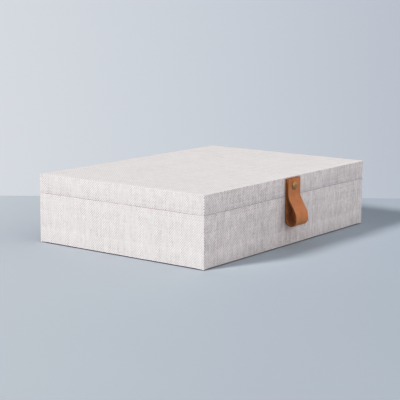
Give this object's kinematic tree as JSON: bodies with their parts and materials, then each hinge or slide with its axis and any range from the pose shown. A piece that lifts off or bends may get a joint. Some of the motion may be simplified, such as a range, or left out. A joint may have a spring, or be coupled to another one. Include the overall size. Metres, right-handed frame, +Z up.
{
  "type": "fabric storage box",
  "caption": "Flat rectangular linen-covered storage box for papers, with a rear-hinged flush lid, an inner neck and a riveted leather loop pull on the lid's front.",
  "frame": {"origin": "middle of the underside's flat face", "axes": "+Z up, -Y out of the front that carries the pull, +Y to the hinge, +X to the right seen from the front"},
  "size_m": [0.33, 0.2481, 0.079],
  "materials": {
    "linen": "matte plain weave, off-white",
    "greyboard": "raw grey recycled board",
    "lining_paper": "matte warm white lining paper",
    "kraft_tape": "gummed brown paper tape",
    "black_card": "matte black card",
    "tan_leather": "tan grain leather with a soft sheen",
    "brass": "polished antique brass"
  },
  "bodies": {
    "base": {"under_card": "black_card", "base_cover": "linen", "base_floor_board": "greyboard", "base_front_board": "greyboard", "base_back_board": "greyboard", "base_left_board": "greyboard", "base_right_board": "greyboard", "base_corner_tapes": "kraft_tape", "neck_front_board": "greyboard", "neck_back_board": "greyboard", "neck_left_board": "greyboard", "neck_right_board": "greyboard", "neck_wrap": "lining_paper", "floor_lining": "lining_paper", "hinge_band_base_leaf": "linen"},
    "lid": {"lid_cover": "linen", "lid_top_board": "greyboard", "lid_front_board": "greyboard", "lid_back_board": "greyboard", "lid_left_board": "greyboard", "lid_right_board": "greyboard", "lid_corner_tapes": "kraft_tape", "lid_lining": "lining_paper", "hinge_band_lid_leaf": "linen", "rivet_cap": "brass", "rivet_post": "brass"},
    "pull_root": {"strap_root": "tan_leather"},
    "pull_loop": {"strap_loop": "tan_leather"}
  },
  "joints": [
    {"name": "lid_hinge", "type": "hinge", "parent": "base", "child": "lid", "pos_m": [0, 0.1166, 0.05715], "axis": [-1, 0, 0], "range_deg": [0, 175]},
    {"name": "pull_swivel", "type": "hinge", "parent": "lid", "child": "pull_root", "pos_m": [0, -0.1175, 0.0688], "axis": [0, -1, 0], "range_deg": [-90, 90]},
    {"name": "pull_flex", "type": "hinge", "parent": "pull_root", "child": "pull_loop", "pos_m": [0, -0.12005, 0.0618], "axis": [-1, 0, 0], "range_deg": [0, 90]}
  ]
}
